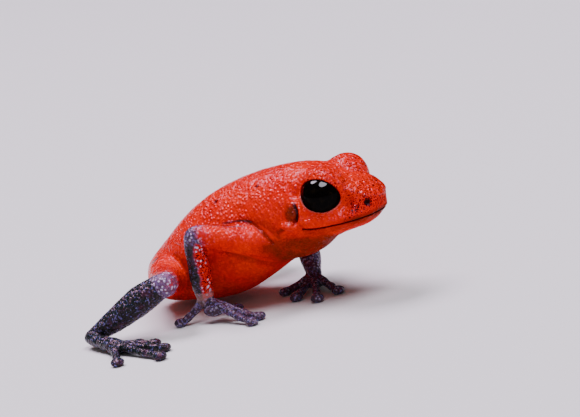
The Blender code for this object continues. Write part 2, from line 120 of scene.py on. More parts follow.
# The upper lip stands out near the mouth's corners, and sinks into the snout at the front
LIP_RADIUS, LIP_PROUD, LIP_ABOVE_MOUTH, LIP_FRONT_INSET = 0.30, 0.08, 0.24, 0.26
LIP_KNOTS = (9.0, 9.8, 10.6, 11.4, 12.1, 12.6)
LIP_FLUSH, LIP_SUNK = (12.6, 10.6), (11.4, 12.8)

# Limb lines: x, y, z and radius, from the body outwards
RIGHT_ARM = (
    (5.40, -1.90, 4.60, 1.25),
    (4.60, -3.10, 4.95, 1.02),
    (3.00, -4.30, 5.60, 0.84),
    (1.55, -5.20, 6.15, 0.70),
    (1.20, -5.25, 5.60, 0.72),
    (1.10, -5.15, 4.40, 0.76),
    (0.92, -4.95, 2.90, 0.78),
    (0.78, -4.80, 1.70, 0.58),
)
LEFT_ARM = (
    (5.40, 1.90, 4.40, 1.25),
    (4.70, 3.10, 4.55, 1.02),
    (3.60, 4.40, 4.65, 0.84),
    (2.50, 5.35, 4.45, 0.70),
    (2.65, 5.30, 3.95, 0.72),
    (3.40, 4.55, 3.00, 0.78),
    (4.50, 3.20, 1.85, 0.74),
    (5.20, 2.20, 1.10, 0.52),
)
RIGHT_LEG = (
    (-4.30, -1.30, 2.60, 1.50),
    (-3.10, -3.20, 2.90, 1.34),
    (-1.80, -5.30, 3.05, 1.04),
    (-0.45, -7.15, 3.45, 0.86),
    (-0.95, -7.50, 3.30, 0.86),
    (-2.20, -8.15, 2.65, 1.00),
    (-4.00, -8.95, 1.60, 0.80),
    (-5.50, -9.55, 0.80, 0.52),
    (-5.50, -9.85, 0.72, 0.48),
    (-4.30, -10.55, 0.62, 0.46),
    (-2.80, -11.20, 0.56, 0.52),
)
LEFT_LEG = (
    (-4.70, 1.30, 2.60, 1.60),
    (-3.70, 3.20, 2.95, 1.45),
    (-2.30, 5.20, 3.20, 1.15),
    (-1.30, 7.00, 3.40, 0.86),
    (-1.70, 7.35, 3.25, 0.86),
    (-3.20, 7.70, 2.75, 1.00),
    (-5.10, 7.60, 1.75, 0.78),
    (-6.70, 7.30, 0.90, 0.52),
    (-6.75, 7.60, 0.78, 0.48),
    (-5.90, 8.70, 0.66, 0.46),
    (-5.00, 10.00, 0.56, 0.52),
)
# The knots at the elbow and the knee, and how many places are worked out from one knot to the next
ELBOW, KNEE = 3, 3
PATH_STEPS = 6

# Digits: heading from +X in degrees and length, from the innermost digit to the outermost
RIGHT_FINGERS = ((62.0, 2.2), (-3.0, 4.2), (-18.0, 4.6), (-150.0, 2.0))
LEFT_FINGERS = ((-128.0, 2.3), (-84.0, 3.3), (-58.0, 4.4), (-34.0, 3.6))
TOE_SPREADS = (58.0, 36.0, 14.0, -6.0, -38.0)
TOE_LENGTHS = (1.7, 2.8, 4.1, 5.3, 3.6)
RIGHT_FOOT_HEADING, LEFT_FOOT_HEADING = -14.0, 66.0
DIGIT_RADIUS, DIGIT_TIP_HEIGHT = 0.265, 0.27
DISC_RADII = (0.46, 0.46, 0.30)
# Along a digit: share of its length, of its root's height and of its radius, with the knuckles thicker
DIGIT_PROFILE = (
    (0.0, 1.0, 1.3),
    (0.20, 0.84, 1.12),
    (0.38, 0.60, 1.14),
    (0.54, 0.40, 0.92),
    (0.70, 0.22, 1.04),
    (0.85, 0.08, 0.84),
    (1.0, 0.0, 0.92),
)
PALM_RADII, PALM_AHEAD = (0.85, 0.72, 0.42), 0.75
SOLE_RADII, SOLE_AHEAD, SOLE_HEIGHT = (0.80, 0.66, 0.40), 0.4, 0.42
FINGER_DROP = 0.25

# Creases of the skin, given for the right side: in front of the arm's root, and behind the gland. They are
# carved, and painted brown and blackish as shade
CREASES = (
    ((4.47, -3.16, 6.32), (4.91, -3.18, 6.09), (5.44, -3.29, 5.61), (5.78, -3.25, 5.15), (5.98, -3.08, 4.74)),
    ((7.05, -3.16, 5.64), (6.75, -3.12, 5.52), (6.50, -3.08, 5.36)),
)
CREASE_RADIUS = 0.07

# A thin blue-grey line where the upper arm meets the trunk, given for the right side
ARM_EDGE = ((2.50, -3.27, 6.38), (3.43, -3.23, 6.46), (4.20, -3.17, 6.43), (4.69, -3.10, 6.30))

# Low ridges and a hollow of each side of the head, as x and z along a line, then width and rise. They are
# read at this many places along it, and come in over these distances from the middle
RELIEF_STEPS, OFF_MIDDLE = 12, (0.6, 1.2)
HEAD_RELIEF = (
    (((11.25, 7.90), (12.05, 7.45), (12.85, 7.05)), 0.28, 0.19),
    (((11.20, 6.75), (12.10, 6.65)), 0.45, -0.09),
    (((8.60, 6.10), (9.60, 6.00), (10.90, 6.15)), 0.22, 0.05),
)

# Dark marks of the skin: a stippled patch behind each nostril, and single spots with their radii
SMUDGE = (12.25, 6.50)
DARK_SPOTS = (
    ((4.96, -2.02, 8.49), 0.18),
    ((1.53, -2.23, 7.68), 0.22),
    ((7.79, -1.99, 8.58), 0.10),
    ((-3.97, -3.08, 4.06), 0.50),
    ((6.30, -0.80, 9.30), 0.10),
    ((2.60, 1.40, 8.60), 0.12),
    ((-0.80, 1.90, 7.10), 0.15),
)

# Size, rise and seed of the skin's low lumps, and size and seed of the ripple of its deeper folds
LUMPS = ((0.30, 0.015, 5), (0.75, 0.014, 6))
RIPPLE, RIPPLE_STRETCH, FOLD_RISE = (0.42, 7), (1.0, 1.0, 0.6), 0.035
# The folds at the neck and the groin: x and z of the middle, and the distances over which each comes in
NECK_FOLD, NECK_REACH, NECK_SIDE = (6.4, 4.9), (2.2, 1.0), (2.0, 2.8)
GROIN_FOLD, GROIN_REACH, GROIN_SHARE = (-2.6, 2.6), (1.5, 0.6), 0.5
# The table of random values that the lumps are read from, and the primes that spread the places over it
LUMP_TABLE, LUMP_PRIMES = 4096, (7919, 104729, 1299709)
# The relief fades out over these heights above the floor and distances from the eyeball
FLOOR_FADE, EYE_FADE = (0.05, 0.45), (0.25, 0.60)

# How far each join is rounded
BODY_BLEND, HAND_BLEND, DIGIT_BLEND = 0.34, 0.25, 0.12
THROAT_BLEND, LIP_BLEND, LID_BLEND, GLAND_BLEND = 0.5, 0.25, 0.30, 0.2
HOLLOW_BLEND, EDGE_BLEND, NOSTRIL_BLEND, EARDRUM_BLEND, CREASE_BLEND = 0.25, 0.06, 0.08, 0.12, 0.16

# Distances are worked out this far from a form, and are FAR everywhere else; TINY keeps a division off 0
REACH = 0.6
FAR = 3.0
TINY = 0.001
HAND_MARGIN, FIELD_MARGIN = 0.9, 1.2
TRUNK_BOX = ((VENT_X - 0.6, -4.6, -0.3), (SNOUT_X + 0.6, 4.6, 10.2))
LEAST_SLOPE = 0.12

# Marks of the limbs: mask, strength, and the knots that each runs between, or the one it starts from. The
# lilac marks are partly the limbs' own tint and partly painted sheen and glints
SOFT = 0.3
LEG_MARKS = (
    ("blue", 1.0, KNEE + 0.1),
    ("lilac", 1.0, KNEE - 0.1, KNEE + 0.8),
    ("stipple", 0.6, KNEE - 1.2, KNEE + 0.4),
)
LIMB_MARKS = {
    "right arm": (
        ("lilac", 0.6, ELBOW - 0.3, ELBOW + 0.8),
        ("lilac", 0.35, 6.9),
        ("pink", 0.5, 6.55, 7.0, 0.15),
    ),
    "left arm": (("blue", 1.0, ELBOW + 0.2), ("lilac", 0.4, ELBOW + 1.0)),
    "right leg": LEG_MARKS,
    "left leg": LEG_MARKS,
}
# The right forearm is red with dark stipples in front, and blue-black behind
FOREARM, FOREARM_SOFT, FOREARM_FRONT = (ELBOW + 0.7, 6.7), 0.25, (0.83, 0.56, 0.0)
# Past this knot the marks of a limb no longer wander
WANDER_END = 6.6
# The distances from a limb's form, a digit's form and the last knot over which skin becomes the limb's
ON_LIMB, ON_DIGIT, ON_PAD = (0.30, 0.14), (0.60, 0.45), (1.9, 1.6)
# The palm or sole: how far under the last knot, how much of that height, and its least gap to the limb
PAD_DROP, PAD_TOP, PAD_GAP = 0.1, 0.75, 0.1
# How wet the blue-black skin is at least, from 0 to 1
WET_LIMBS = 0.7

SIDES = ("right", "left")
FLESH = ("torso", "head", "lower_jaw") + tuple(
    f"{piece}_{side}"
    for piece in ("upper_arm", "forearm", "hand", "thigh", "shank", "foot")
    for side in SIDES
)


def mirrored(values, side):
    """Values given for the right side, for that side."""
    return values if side == "right" else (values[0], -values[1], *values[2:])


def frame_shift():
    """How far the stance frame lies from the row frame, read from where the right eye is, in millimetres."""
    low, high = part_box("eye_right")
    return np.array((low + high) / 2) / MM - np.array(EYE_CENTRE)


SHIFT = frame_shift()


# Shape functions

def smoothstep(low, high, values):
    """0 below low, 1 above high, and smooth between."""
    t = np.clip((values - low) / (high - low), 0.0, 1.0)
    return t * t * (3.0 - 2.0 * t)


def smooth_min(a, b, blend):
    """The smaller of two distances, rounded where they are within blend of each other."""
    share = np.maximum(blend - np.abs(a - b), 0.0) / blend
    return np.minimum(a, b) - share * share * blend / 4


def span(x, y, z):
    """The length of a vector."""
    return np.sqrt(x * x + y * y + z * z)


def profile(x, column):
    """One column of the trunk's sections, read smoothly at x."""
    xs, ys = TRUNK_SECTIONS[:, 0], TRUNK_SECTIONS[:, column]
    slopes = np.gradient(ys, xs)
    i = np.clip(np.searchsorted(xs, x) - 1, 0, len(xs) - 2)
    width = xs[i + 1] - xs[i]
    t = np.clip((x - xs[i]) / width, 0.0, 1.0)
    rise = t * t * (3 - 2 * t)
    bend = slopes[i] * t * (1 - t) ** 2 + slopes[i + 1] * t * t * (t - 1)
    return ys[i] * (1 - rise) + ys[i + 1] * rise + width * bend


def trunk_form(x, y, z):
    """Below 0 inside the trunk and head, 0 on their surface."""
    width, under, back, level = (profile(x, column) for column in (1, 2, 3, 4))
    along = np.maximum((x - SNOUT_X + SNOUT_CAP) / SNOUT_CAP, (VENT_X + RUMP_CAP - x) / RUMP_CAP)
    along = np.maximum(along, 0.0)
    height = np.where(z > level, back - level, level - under)
    ring = (np.abs(y) / width) ** SQUARENESS + (np.abs(z - level) / height) ** SQUARENESS
    return np.sqrt(along**2 + ring ** (2 / SQUARENESS)) - 1.0


def half_width_at(x, z):
    """How far out the trunk's side is at that place of the side view."""
    width, under, back, level = (float(profile(np.array(x), column)) for column in (1, 2, 3, 4))
    along = max((x - SNOUT_X + SNOUT_CAP) / SNOUT_CAP, 0.0)
    size = math.sqrt(max(0.0, 1.0 - along * along))
    share = min(1.0, abs(z - level) / ((back - level if z > level else level - under) * max(size, 0.01)))
    return width * size * (1.0 - share**SQUARENESS) ** (1 / SQUARENESS)


def mouth_height(x):
    """The height of the line of the mouth at x."""
    slope = (MOUTH_FRONT[1] - MOUTH_CORNER[1]) / (MOUTH_FRONT[0] - MOUTH_CORNER[0])
    share = np.clip((x - MOUTH_CORNER[0]) / (SNOUT_X - MOUTH_CORNER[0]), 0.0, 1.0)
    sag = MOUTH_SAG * np.sin(math.pi * share**MOUTH_SAG_LEAN)
    return MOUTH_CORNER[1] + slope * (x - MOUTH_CORNER[0]) - sag


def snout_front(z):
    """How far forward the snout reaches at a height."""
    level, under = float(profile(np.array(SNOUT_X), 4)), float(profile(np.array(SNOUT_X), 2))
    share = min(1.0, abs(z - level) / (level - under))
    return SNOUT_X - SNOUT_CAP * (1.0 - math.sqrt(1.0 - share * share))


def on_side(place, side, inwards=0.0):
    """The point of the trunk's side at an x and z, or that far inside it."""
    return mirrored((place[0], inwards - half_width_at(*place), place[1]), side)


def smooth_line(knots):
    """Places and radii along a Catmull-Rom curve through the knots."""
    rows = np.array(knots)
    ends = np.vstack([2 * rows[0] - rows[1], rows, 2 * rows[-1] - rows[-2]])
    line = []
    for a, b, c, d in zip(ends, ends[1:], ends[2:], ends[3:]):
        bend = 2 * a - 5 * b + 4 * c - d
        twist = 3 * b - a - 3 * c + d
        for k in range(PATH_STEPS):
            t = k / PATH_STEPS
            line.append(b + 0.5 * ((c - a) * t + bend * t**2 + twist * t**3))
    line.append(rows[-1])
    return np.array(line)


def digit_line(root, heading, length):
    """Knots of a finger or toe, thicker at its knuckles, down to the floor."""
    c, s = math.cos(math.radians(heading)), math.sin(math.radians(heading))
    knots = []
    for share, height, radius in DIGIT_PROFILE:
        z = DIGIT_TIP_HEIGHT + (root[2] - DIGIT_TIP_HEIGHT) * height
        knots.append((root[0] + c * length * share, root[1] + s * length * share, z, DIGIT_RADIUS * radius))
    return knots


def toe_plan(side):
    """Heading and length of each toe."""
    heading, turn = (RIGHT_FOOT_HEADING, 1) if side == "right" else (LEFT_FOOT_HEADING, -1)
    return [(heading + turn * spread, length) for spread, length in zip(TOE_SPREADS, TOE_LENGTHS)]


def eye_frame(side):
    """The eye's centre, and its outward, forward and upward directions."""
    centre = np.array(mirrored(EYE_CENTRE, side))
    out = np.array(mirrored(EYE_AXIS, side))
    out /= np.linalg.norm(out)
    ahead = np.array((1.0, 0.0, 0.0)) - out[0] * out
    ahead /= np.linalg.norm(ahead)
    up = np.cross(ahead, out)
    up = up if up[2] > 0 else -up
    tilt = math.radians(EYE_TILT)
    forward = ahead * math.cos(tilt) + up * math.sin(tilt)
    upward = up * math.cos(tilt) - ahead * math.sin(tilt)
    return centre, out, forward, upward


class Field:
    """Distances to a surface on a grid: below 0 inside it. Forms are joined to it or carved from it."""

    def __init__(self, low, high, step):
        self.step = step
        self.first = np.floor(np.array(low) / step).astype(int)
        self.counts = np.ceil(np.array(high) / step).astype(int) - self.first + 1
        self.values = np.full(self.counts, FAR, np.float32)

    def window(self, low, high):
        """The slices of the grid between two corners, and its x, y and z there."""
        start = np.clip(np.floor(np.array(low) / self.step).astype(int) - self.first, 0, self.counts)
        stop = np.clip(np.ceil(np.array(high) / self.step).astype(int) - self.first + 1, start, self.counts)
        part = tuple(slice(a, b) for a, b in zip(start, stop))
        axes = [
            ((self.first[k] + np.arange(start[k], stop[k])) * self.step).astype(np.float32) for k in range(3)
        ]
        return part, axes[0][:, None, None], axes[1][None, :, None], axes[2][None, None, :]

    def join(self, distance, centre, reach, blend):
        """Adds a form, given as a function of x, y and z, within that reach of a centre."""
        part, x, y, z = self.window(np.subtract(centre, reach), np.add(centre, reach))
        self.values[part] = smooth_min(self.values[part], distance(x, y, z), blend)

    def carve(self, distance, centre, reach, blend):
        """Takes a form away. The function also gets the distances that are there."""
        part, x, y, z = self.window(np.subtract(centre, reach), np.add(centre, reach))
        here = self.values[part]
        self.values[part] = -smooth_min(-here, distance(x, y, z, here), blend)

    def merge(self, other, blend, sign=1):
        """Adds another field of the same step, or takes it away where the sign is -1."""
        start = other.first - self.first
        part = tuple(slice(a, a + n) for a, n in zip(start, other.counts))
        self.values[part] = sign * smooth_min(sign * self.values[part], other.values, blend)

    def ellipsoid(self, centre, radii, blend, heading=0.0):
        """Adds an ellipsoid, turned about Z by the heading in degrees."""
        reach = max(radii) + REACH
        c, s = math.cos(math.radians(heading)), math.sin(math.radians(heading))

        def distance(x, y, z):
            a = ((x - centre[0]) * c + (y - centre[1]) * s) / radii[0]
            b = ((y - centre[1]) * c - (x - centre[0]) * s) / radii[1]
            d = (z - centre[2]) / radii[2]
            size = span(a, b, d)
            slope = span(a / radii[0], b / radii[1], d / radii[2])
            return np.minimum((size - 1.0) * size / np.maximum(slope, TINY), FAR)

        self.join(distance, centre, reach, blend)

    def chain(self, line):
        """Adds a limb or digit: round cones from place to place along the line."""
        for a, b in zip(line, line[1:]):
            reach = max(a[3], b[3]) + REACH
            part, x, y, z = self.window(np.minimum(a[:3], b[:3]) - reach, np.maximum(a[:3], b[:3]) + reach)
            along = b[:3] - a[:3]
            px, py, pz = x - a[0], y - a[1], z - a[2]
            t = np.clip((px * along[0] + py * along[1] + pz * along[2]) / float(along @ along), 0.0, 1.0)
            gap = span(px - t * along[0], py - t * along[1], pz - t * along[2])
            self.values[part] = np.minimum(self.values[part], gap - (a[3] + t * (b[3] - a[3])))

    def surface(self):
        """The places and four-sided faces of the surface, in millimetres."""
        grid = openvdb.FloatGrid()
        grid.copyFromArray(self.values)
        places, _, faces = grid.convertToPolygons(isovalue=0.0, adaptivity=0.0)
        return (places + self.first) * self.step, faces


def around(rows, margin):
    """Corners of the box round limb or digit rows, with a margin."""
    rows = np.array(rows)
    return (rows[:, :3] - rows[:, 3:]).min(axis=0) - margin, (rows[:, :3] + rows[:, 3:]).max(axis=0) + margin


def line_field(line, step):
    """A digit, lip or fold along a line, as a field of its own."""
    field = Field(*around(line, REACH), step)
    field.chain(line)
    return field


def ahead_of(place, heading, distance):
    """x and y that far from a place, in a heading in degrees."""
    turn = math.radians(heading)
    return place[0] + distance * math.cos(turn), place[1] + distance * math.sin(turn)


def limb_plans():
    """The knots, the digits and the heading of the palm or sole of each limb."""
    return {
        "right arm": (RIGHT_ARM, RIGHT_FINGERS, RIGHT_FINGERS[2][0]),
        "left arm": (LEFT_ARM, LEFT_FINGERS, LEFT_FINGERS[2][0]),
        "right leg": (RIGHT_LEG, toe_plan("right"), RIGHT_FOOT_HEADING),
        "left leg": (LEFT_LEG, toe_plan("left"), LEFT_FOOT_HEADING),
    }


def limb_field(knots, plan, heading, step):
    """A limb with its hand or foot, as a field of its own."""
    end, root = knots[-1], knots[-1][:3]
    if knots in (RIGHT_ARM, LEFT_ARM):
        pad, radii = (*ahead_of(end, heading, PALM_AHEAD), end[2] / 2), PALM_RADII
        root = (*end[:2], end[2] - FINGER_DROP)
    else:
        pad, radii = (*ahead_of(end, heading, SOLE_AHEAD), SOLE_HEIGHT), SOLE_RADII
    lines = [smooth_line(digit_line(root, turn, length)) for turn, length in plan]
    hand = Field(*around(np.vstack(lines), HAND_MARGIN), step)
    hand.ellipsoid(pad, radii, DIGIT_BLEND, heading)
    for line, (turn, _) in zip(lines, plan):
        digit = line_field(line, step)
        digit.ellipsoid(line[-1][:3], DISC_RADII, DIGIT_BLEND, turn)
        hand.merge(digit, DIGIT_BLEND)
    line = smooth_line(knots)
    low, high = around(line, HAND_MARGIN)
    low = np.minimum(low, hand.first * step) - step
    high = np.maximum(high, (hand.first + hand.counts) * step) + step
    limb = Field(low, high, step)
    limb.chain(line)
    limb.merge(hand, HAND_BLEND)
    return limb


def add_trunk(body):
    """Trunk, head and throat."""
    part, x, y, z = body.window(*TRUNK_BOX)
    form = trunk_form(x, y, z).astype(np.float32)
    slopes = np.gradient(form, body.step)
    steepness = np.sqrt(sum(slope * slope for slope in slopes))
    body.values[part] = np.clip(form / np.maximum(steepness, LEAST_SLOPE), -FAR, FAR)
    body.ellipsoid(THROAT_CENTRE, THROAT_RADII, THROAT_BLEND)


def add_lips(body):
    """The rim of the upper jaw, from one corner of the mouth to the other."""
    knots = []
    for x in LIP_KNOTS:
        z = float(mouth_height(x)) + LIP_ABOVE_MOUTH
        proud = LIP_PROUD * float(smoothstep(*LIP_FLUSH, x))
        proud -= LIP_FRONT_INSET * float(smoothstep(*LIP_SUNK, x))
        knots.append((x, LIP_RADIUS - proud - half_width_at(x, z), z, LIP_RADIUS))
    z = float(mouth_height(SNOUT_X)) + LIP_ABOVE_MOUTH
    front = (snout_front(z) - LIP_RADIUS - LIP_FRONT_INSET, 0.0, z, LIP_RADIUS)
    left = [(x, -y, z, radius) for x, y, z, radius in reversed(knots)]
    line = smooth_line((*knots, front, *left))
    body.merge(line_field(line, body.step), LIP_BLEND)


def eye_places(x, y, z, side):
    """Distance from the eye's centre, way out along its axis, the lids' ellipse, and height over the centre.

    The ellipse is 1 on the edge of the opening between the lids.
    """
    centre, out, forward, upward = eye_frame(side)
    px, py, pz = x - centre[0], y - centre[1], z - centre[2]
    outward, ahead, above = (px * way[0] + py * way[1] + pz * way[2] for way in (out, forward, upward))
    ellipse = np.sqrt((ahead / LID_OPENING[0]) ** 2 + (above / LID_OPENING[1]) ** 2)
    return span(px, py, pz), outward, ellipse, above


def add_lids(body, side):
    """The swelling over the eyeball, the hollow that the eye stands out of, and the lids' opening."""

    def edge(above):
        return LID_EDGE + BROW * smoothstep(*BROW_SPAN, above)

    def swelling(x, y, z):
        gap, outward, ellipse, above = eye_places(x, y, z, side)
        rise = np.where(outward > 0, smoothstep(*LID_SPAN, ellipse), 1.0)
        return np.minimum(gap - (EYE_RADIUS + edge(above) + (LID_RISE - LID_EDGE) * rise), FAR)

    def hollow(x, y, z, here):
        gap, outward, ellipse, above = eye_places(x, y, z, side)
        beyond = np.maximum(ellipse - HOLLOW_START, 0.0)
        skin = EYE_RADIUS + edge(above) + HOLLOW_GAP + HOLLOW_SLOPE * beyond + HOLLOW_CURVE * beyond**2
        return np.maximum(skin - gap, HOLLOW_FLOOR - outward)

    def opening(x, y, z, here):
        _, outward, ellipse, _ = eye_places(x, y, z, side)
        across = (ellipse - 1.0) * (sum(LID_OPENING) / 2)
        return np.maximum(across, OPENING_FLOOR - outward)

    centre = mirrored(EYE_CENTRE, side)
    body.join(swelling, centre, SWELLING_REACH, LID_BLEND)
    body.carve(hollow, centre, HOLLOW_REACH, HOLLOW_BLEND)
    body.carve(opening, centre, OPENING_REACH, EDGE_BLEND)


def carve_mouth(body):
    """The line of the mouth, a shallow groove between its corners."""

    def groove(x, y, z, here):
        line = np.abs(z - mouth_height(x)) - MOUTH_HALF_WIDTH
        behind = MOUTH_CORNER[0] - MOUTH_PAST_CORNER - x
        return np.maximum(np.maximum(line, -(here + MOUTH_DEPTH)), behind)

    body.carve(groove, MOUTH_MIDDLE, MOUTH_REACH, EDGE_BLEND)


def side_line(places, side):
    """A thin line through places given for the right side, on that side."""
    return smooth_line([(*mirrored(place, side), CREASE_RADIUS) for place in places])


def carve_creases(body, side):
    """Shallow folds of the skin in front of the arm's root and behind the gland."""
    for crease in CREASES:
        body.merge(line_field(side_line(crease, side), body.step), CREASE_BLEND, -1)


def carve_side_features(body, side):
    """Nostril and eardrum of one side, with the small gland under the eardrum."""
    nostril = on_side(NOSTRIL, side)
    drum = on_side(EARDRUM, side)

    def pit(x, y, z, here):
        return span(x - nostril[0], y - nostril[1], z - nostril[2]) - NOSTRIL_RADIUS

    def ring(x, y, z, here):
        from_axis = np.sqrt((x - drum[0]) ** 2 + ((z - drum[2]) * EARDRUM_FLATNESS) ** 2)
        front = smoothstep(*EARDRUM_FRONT, (x - drum[0]) / EARDRUM_RADIUS)
        from_rim = np.sqrt((from_axis - EARDRUM_RADIUS) ** 2 + (y - drum[1]) ** 2)
        return from_rim - (EARDRUM_GROOVE + EARDRUM_DEEPER * front)

    body.carve(pit, nostril, NOSTRIL_REACH, NOSTRIL_BLEND)
    body.ellipsoid(on_side(GLAND, side, -GLAND_PROUD), GLAND_RADII, GLAND_BLEND)
    body.carve(ring, drum, EARDRUM_REACH, EARDRUM_BLEND)


def frog_field(step):
    """The whole frog as one field, cut level at the floor."""
    low = np.array(CAD_LOW) / MM - SHIFT - FIELD_MARGIN
    high = np.array(CAD_HIGH) / MM - SHIFT + FIELD_MARGIN
    body = Field(low, high, step)
    add_trunk(body)
    add_lips(body)
    for side in SIDES:
        add_lids(body, side)
        carve_side_features(body, side)
    carve_mouth(body)
    for plan in limb_plans().values():
        body.merge(limb_field(*plan, step), BODY_BLEND)
    for side in SIDES:
        carve_creases(body, side)
    _, _, _, z = body.window(low, high)
    body.values = np.maximum(body.values, -z)
    return body


# Relief and masks on the skin's points

def lumps(places, size, seed):
    """Smooth random values from -1 to 1, in lumps of that size."""
    draw = np.random.default_rng(seed)
    scaled = places / size
    first = np.floor(scaled).astype(int)
    t = scaled - first
    t = t * t * (3 - 2 * t)
    table = draw.uniform(-1.0, 1.0, LUMP_TABLE)
    total = np.zeros(len(places))
    for corner in range(8):
        offset = np.array((corner & 1, corner >> 1 & 1, corner >> 2 & 1))
        index = ((first + offset) @ LUMP_PRIMES) % LUMP_TABLE
        weight = np.prod(np.where(offset == 1, t, 1 - t), axis=1)
        total += table[index] * weight
    return total


def relief(places, normals):
    """The skin's points, moved in and out by low lumps, by folds, and by the ridges of the head."""
    x, y, z = places.T
    ripple = lumps(places * RIPPLE_STRETCH, *RIPPLE)
    from_neck = np.hypot(x - NECK_FOLD[0], z - NECK_FOLD[1])
    from_groin = np.hypot(x - GROIN_FOLD[0], z - GROIN_FOLD[1])
    folded = smoothstep(*NECK_REACH, from_neck) * smoothstep(*NECK_SIDE, np.abs(y))
    folded = np.maximum(folded, GROIN_SHARE * smoothstep(*GROIN_REACH, from_groin))
    height = sum(rise * lumps(places, size, seed) for size, rise, seed in LUMPS)
    height = height + FOLD_RISE * folded * ripple
    off_middle = smoothstep(*OFF_MIDDLE, np.abs(y))
    for line, width, rise in HEAD_RELIEF:
        shares = np.linspace(0, 1, len(line))
        steps = np.linspace(0, 1, RELIEF_STEPS)
        spots = [np.interp(steps, shares, column) for column in np.array(line).T]
        gap = np.hypot(x[:, None] - spots[0], z[:, None] - spots[1]).min(axis=1)
        height = height + rise * np.exp(-((gap / width) ** 2)) * off_middle
    steady = smoothstep(*FLOOR_FADE, z)
    for side in SIDES:
        gap, _, _, _ = eye_places(x, y, z, side)
        steady = steady * smoothstep(*EYE_FADE, gap - EYE_RADIUS)
    return places + normals * (height * steady)[:, None]


def along_line(places, line):
    """For each place, its distance from a limb's skin and which place along the line is nearest."""
    best = np.full(len(places), FAR)
    spot = np.zeros(len(places))
    low, high = around(line, 1.0)
    near = np.flatnonzero(np.all((places > low) & (places < high), axis=1))
    close = places[near]
    for k, (a, b) in enumerate(zip(line, line[1:])):
        along = b[:3] - a[:3]
        t = np.clip((close - a[:3]) @ along / (along @ along), 0.0, 1.0)
        gap = np.linalg.norm(close - a[:3] - t[:, None] * along, axis=1) - (a[3] + t * (b[3] - a[3]))
        nearer = gap < best[near]
        best[near] = np.where(nearer, gap, best[near])
        spot[near] = np.where(nearer, k + t, spot[near])
    return best, spot


class Limb:
    """Where the skin's points lie on one limb: how surely, and how many knots along it."""

    def __init__(self, places, knots, digits):
        self.axis = smooth_line(knots)
        self.gap, self.index = along_line(places, self.axis)
        self.spot = self.index / PATH_STEPS
        self.on = smoothstep(*ON_LIMB, self.gap)
        root = (*knots[-1][:2], knots[-1][2] - PAD_DROP)
        from_pad = np.hypot(places[:, 0] - root[0], places[:, 1] - root[1])
        pad = smoothstep(*ON_PAD, from_pad) * (places[:, 2] < root[2] * PAD_TOP)
        self.add(pad, self.gap > PAD_GAP, len(knots))
        for heading, length in digits:
            gap, _ = along_line(places, smooth_line(digit_line(root, heading, length)))
            self.add(smoothstep(*ON_DIGIT, gap), gap < self.gap, len(knots))

    def add(self, on, nearer, spot):
        """Counts the points of a pad or digit as the limb's, and as its end where they are nearer to it."""
        self.spot = np.where((on > 0) & nearer, spot, self.spot)
        self.on = np.maximum(self.on, on)

    def stretch(self, first, last=None, soft=SOFT):
        """1 between two knots of the limb, or from one to the tips, and 0 elsewhere."""
        share = self.on * smoothstep(first - soft, first + soft, self.spot)
        return share if last is None else share * (1 - smoothstep(last - soft, last + soft, self.spot))

    def offset(self, places, direction):
        """How far each point lies from the limb's line in a direction."""
        nearest = self.axis[np.clip(np.round(self.index).astype(int), 0, len(self.axis) - 1), :3]
        return (places - nearest) @ np.array(direction)


def mark_limbs(places, normals, wobble, lay):
    """Blue-black lower limbs with lilac specks, a lilac tint that is partly painted sheen and glints, and the
    painted shade that the limbs throw on the trunk.
    """
    limbs = {name: Limb(places, *plan[:2]) for name, plan in limb_plans().items()}
    for limb in limbs.values():
        limb.spot = limb.spot + wobble * (limb.spot < WANDER_END)
    for name, marks in LIMB_MARKS.items():
        for mask, strength, *ends in marks:
            lay(mask, strength, limbs[name].stretch(*ends))
    arm = limbs["right arm"]
    ahead = arm.offset(places, FOREARM_FRONT)
    front = arm.stretch(*FOREARM, FOREARM_SOFT) * smoothstep(-0.16, 0.12, ahead + wobble * 0.8)
    lay("blue", 1.0, arm.stretch(ELBOW - 0.2) * (1 - front))
    lay("stipple", 0.7, front)
    # Painted glints: the lilac mask laid along the forearm's red front
    lay("lilac", 1.0, front * smoothstep(0.65, 0.35, ahead))
    # A thin line along the top of each upper arm
    top = smoothstep(0.93, 0.99, normals[:, 2] + wobble * 0.1)
    for name in ("right arm", "left arm"):
        lay("blue", 0.8, top * limbs[name].stretch(0.8, ELBOW))
    # Painted shade: brown on the trunk close round each limb's root, where the skin does not face up
    for limb in limbs.values():
        close = smoothstep(0.95, 0.30, limb.gap) * smoothstep(0.12, 0.30, limb.gap) * (limb.spot < ELBOW)
        lay("brown", 0.5, close * (normals[:, 2] < 0.3))


def mark_mouth(places, masks, lay):
    """The line of the mouth, painted blackish as shade in its groove, the browner lips and throat, and the
    stippled snout.
    """
    x, _, z = places.T
    above = z - mouth_height(x)
    in_mouth = (x > MOUTH_CORNER[0] - 0.15) * (masks["blue"] < 0.5) * (z > 4.5)
    # Painted shade: a blackish line along the groove of the mouth
    lay("dark", 0.9, in_mouth * smoothstep(0.09, 0.03, np.abs(above)))
    lip = smoothstep(0.42, 0.18, np.abs(above + 0.04)) * smoothstep(10.6, 12.2, x)
    lay("brown", 0.75, lip * in_mouth)
    lay("brown", 0.45, in_mouth * smoothstep(0.40, 0.15, np.abs(above + 0.25)))
    throat = smoothstep(0.2, 0.9, -above) * smoothstep(4.6, 6.0, x) * (1 - smoothstep(9.6, 10.6, x))
    lay("brown", 0.8, throat * (1 - masks["blue"]) * (z > 2.8))
    lay("stipple", 0.55, smoothstep(10.8, 12.4, x) * smoothstep(-0.1, 0.6, above))


